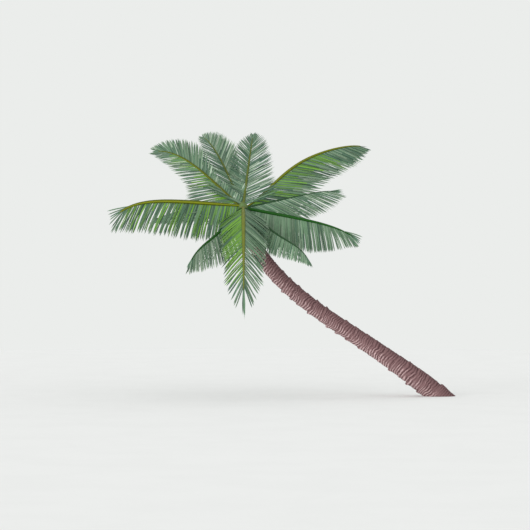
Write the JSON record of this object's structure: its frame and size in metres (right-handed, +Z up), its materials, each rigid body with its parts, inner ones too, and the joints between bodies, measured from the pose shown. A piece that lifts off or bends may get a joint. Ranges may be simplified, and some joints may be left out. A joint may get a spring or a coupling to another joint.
{
  "type": "coconut palm tree",
  "caption": "Leaning coconut palm: a bowed trunk ringed with leaf scars rises from a flat cut at ground level to a full crown of arching feather fronds.",
  "frame": {"origin": "middle of the flat cut under the trunk, at ground level", "axes": "+Z up; the trunk leans towards -X; the front, which the picture shows, faces -Y"},
  "size_m": [9.894, 6.128, 7.7946],
  "materials": {
    "bark": "rough grey-brown bark with a mauve cast, ringed with leaf scars",
    "leaf_bases": "matt fibrous leaf bases, olive to brown",
    "bright_frond": "satin leaf, yellow-green by the rib and grey-green at the tips, with an olive rib",
    "dusty_frond": "satin leaf, dusty grey-green, with a dark green rib"
  },
  "bodies": {
    "root": {"trunk": "bark", "crown_heart": "leaf_bases", "frond_front": "bright_frond", "frond_left": "bright_frond", "frond_upper_right": "bright_frond", "frond_upper_left": "bright_frond", "frond_top": "dusty_frond", "frond_top_left": "dusty_frond", "frond_right": "dusty_frond", "frond_rear_right": "dusty_frond", "frond_lower_right": "dusty_frond", "frond_lower_left": "dusty_frond", "frond_back": "dusty_frond", "frond_back_right": "dusty_frond", "frond_back_left": "dusty_frond"}
  },
  "joints": []
}
